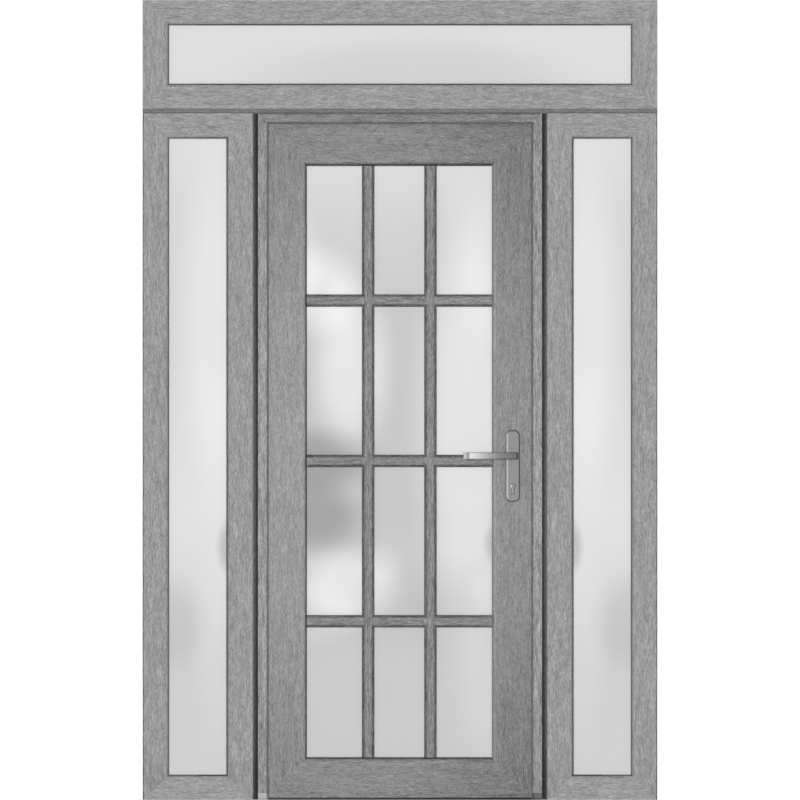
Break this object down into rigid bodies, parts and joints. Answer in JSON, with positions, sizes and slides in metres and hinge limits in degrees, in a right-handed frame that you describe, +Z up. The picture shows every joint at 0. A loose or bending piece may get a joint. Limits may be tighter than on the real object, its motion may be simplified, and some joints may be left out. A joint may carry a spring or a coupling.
{
  "type": "door with sidelights",
  "caption": "Glazed entrance door leaf with crossing glazing bars and a lever handle, hung between tall fixed sidelights under a fixed transom light, all in mitred wood-grain frames.",
  "frame": {"origin": "on the floor, under the middle of the threshold, half way through the frame's depth", "axes": "+X to the right seen from the pictured face, +Y towards the rear face, +Z up"},
  "size_m": [1.544, 0.185, 2.4],
  "materials": {
    "grey_foil": "wood-grain foil",
    "dark_filler": "matte",
    "obscured_glass": "satin",
    "black_rubber": "matte",
    "mill_aluminium": "mill",
    "satin_nickel": "satin",
    "hinge_metal": "satin"
  },
  "bodies": {
    "frame": {"coupling_posts": "dark_filler", "door_head": "grey_foil", "door_seal": "black_rubber", "fixed_beads": "grey_foil", "fixed_gaskets": "black_rubber", "hinge_jamb": "grey_foil", "hinge_jamb_halves": "hinge_metal", "jamb_feet": "mill_aluminium", "left_sidelight_glass": "obscured_glass", "left_sidelight_head": "grey_foil", "left_sidelight_left_jamb": "grey_foil", "left_sidelight_right_jamb": "grey_foil", "left_sidelight_sill": "grey_foil", "lock_jamb": "grey_foil", "right_sidelight_glass": "obscured_glass", "right_sidelight_head": "grey_foil", "right_sidelight_left_jamb": "grey_foil", "right_sidelight_right_jamb": "grey_foil", "right_sidelight_sill": "grey_foil", "strike_plate": "satin_nickel", "threshold": "mill_aluminium", "transom_coupling_bar": "grey_foil", "transom_glass": "obscured_glass", "transom_head": "grey_foil", "transom_left_jamb": "grey_foil", "transom_right_jamb": "grey_foil", "transom_sill": "grey_foil"},
    "leaf": {"bottom_rail": "grey_foil", "door_beads": "grey_foil", "door_gasket": "black_rubber", "door_glass": "obscured_glass", "front_glazing_bars": "grey_foil", "front_plate": "satin_nickel", "hinge_leaf_halves": "hinge_metal", "hinge_stile": "grey_foil", "lock_bolts": "satin_nickel", "lock_cylinder": "satin_nickel", "lock_forend": "satin_nickel", "lock_stile": "grey_foil", "rear_glazing_bars": "grey_foil", "rear_plate": "satin_nickel", "top_rail": "grey_foil"},
    "handle": {"front_lever": "satin_nickel", "rear_lever": "satin_nickel", "spindle": "satin_nickel"}
  },
  "joints": [
    {"name": "door_swing", "type": "hinge", "parent": "frame", "child": "leaf", "pos_m": [-0.409, 0.045, 1.03], "axis": [0, 0, 1], "range_deg": [0, 110]},
    {"name": "lever_turn", "type": "hinge", "parent": "leaf", "child": "handle", "pos_m": [0.338, 0.01, 1.033], "axis": [0, -1, 0], "range_deg": [0, 45], "stiffness_Nm_per_rad": 2, "springref_deg": -45.84}
  ]
}
